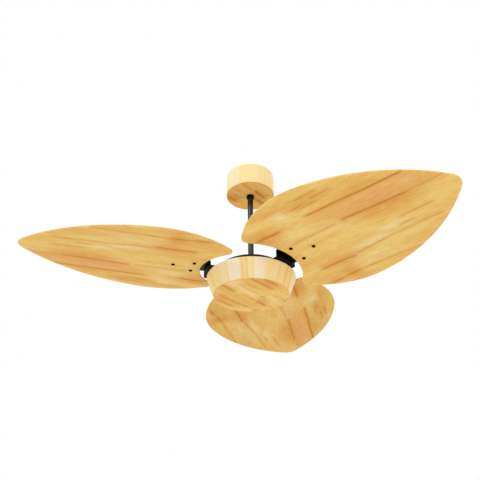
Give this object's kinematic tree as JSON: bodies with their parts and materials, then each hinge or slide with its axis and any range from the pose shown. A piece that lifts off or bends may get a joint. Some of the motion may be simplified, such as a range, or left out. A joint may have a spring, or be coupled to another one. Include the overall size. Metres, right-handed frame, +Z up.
{
  "type": "ceiling fan",
  "caption": "Ceiling fan with wide leaf-shaped wooden blades on black irons, a tapered wooden drum under the motor, a slim downrod and a round wooden canopy.",
  "frame": {"origin": "centre of the ceiling bracket's top face, which lies against the ceiling; the fan hangs below it", "axes": "+Z up along the downrod, away from the fan and into the ceiling; +X along the first blade; +Y completes the right-handed frame, along the hanger bolt"},
  "size_m": [0.8448, 0.9342, 0.3511],
  "materials": {
    "zinc_steel": "zinc-plated steel",
    "rubber": "moulded rubber",
    "black_paint": "gloss black paint on steel",
    "motor_black": "satin black paint on cast aluminium",
    "lead_sheath": "moulded and extruded plastic",
    "white_plastic": "moulded plastic",
    "blade_wood": "streaky tan wood grain, satin lacquer",
    "disc_wood": "orange-brown wood grain, satin lacquer",
    "stave_wood": "pale cream and yellow wood, satin lacquer",
    "bearing_steel": "ground steel",
    "electrical_steel": "laminated steel",
    "copper": "enamelled copper wire"
  },
  "bodies": {
    "bracket": {"ceiling_bracket": "zinc_steel", "hanger_bolt": "zinc_steel", "hanger_nut": "zinc_steel", "hanger_bush": "rubber"},
    "hung_rod": {"capacitor_lead": "lead_sheath", "capacitor_strap": "zinc_steel", "connector_block": "white_plastic", "cotter_pin": "zinc_steel", "coupling_bolt": "zinc_steel", "coupling_nut": "zinc_steel", "downrod": "black_paint", "drum_disc": "disc_wood", "drum_insert": "zinc_steel", "drum_ring": "stave_wood", "lower_bearing_inner": "bearing_steel", "motor_shaft": "bearing_steel", "run_capacitor": "lead_sheath", "shaft_coupling": "black_paint", "shaft_nut": "zinc_steel", "stator_core": "electrical_steel", "stator_winding": "copper", "supply_lead": "lead_sheath", "upper_bearing_inner": "bearing_steel"},
    "canopy": {"canopy_ring": "stave_wood", "canopy_disc": "disc_wood", "canopy_collar": "black_paint", "collar_screw": "zinc_steel"},
    "rotor": {"rotor_core": "electrical_steel", "rotor_top_cover": "motor_black", "rotor_bottom_cover": "motor_black", "upper_bearing_outer": "bearing_steel", "lower_bearing_outer": "bearing_steel", "cover_screw_1": "zinc_steel", "cover_screw_2": "zinc_steel", "cover_screw_3": "zinc_steel", "iron_screw_1a": "zinc_steel", "iron_screw_1b": "zinc_steel", "iron_screw_2a": "zinc_steel", "iron_screw_2b": "zinc_steel", "iron_screw_3a": "zinc_steel", "iron_screw_3b": "zinc_steel", "blade_screw_1a": "black_paint", "blade_screw_1b": "black_paint", "blade_screw_1c": "black_paint", "blade_screw_2a": "black_paint", "blade_screw_2b": "black_paint", "blade_screw_2c": "black_paint", "blade_screw_3a": "black_paint", "blade_screw_3b": "black_paint", "blade_screw_3c": "black_paint", "blade_iron_1": "black_paint", "blade_iron_2": "black_paint", "blade_iron_3": "black_paint", "blade_1": "blade_wood", "blade_2": "blade_wood", "blade_3": "blade_wood"},
    "ball_cages": {"upper_ball_cage": "bearing_steel", "lower_ball_cage": "bearing_steel"}
  },
  "joints": [
    {"name": "hanger_swing", "type": "hinge", "parent": "bracket", "child": "hung_rod", "pos_m": [0, 0, -0.022], "axis": [0, 1, 0], "range_deg": [-2.5, 2.5]},
    {"name": "canopy_slide", "type": "slide", "parent": "hung_rod", "child": "canopy", "axis": [0, 0, 1], "range_m": [-0.17, 0]},
    {"name": "rotor_spin", "type": "hinge", "parent": "hung_rod", "child": "rotor", "pos_m": [0, 0, -0.3], "axis": [0, 0, 1], "continuous": true},
    {"name": "cage_spin", "type": "hinge", "parent": "hung_rod", "child": "ball_cages", "pos_m": [0, 0, -0.3], "axis": [0, 0, 1], "continuous": true}
  ],
  "couplings": [
    {"joint": "cage_spin", "follows": "rotor_spin", "ratio": 0.618}
  ]
}
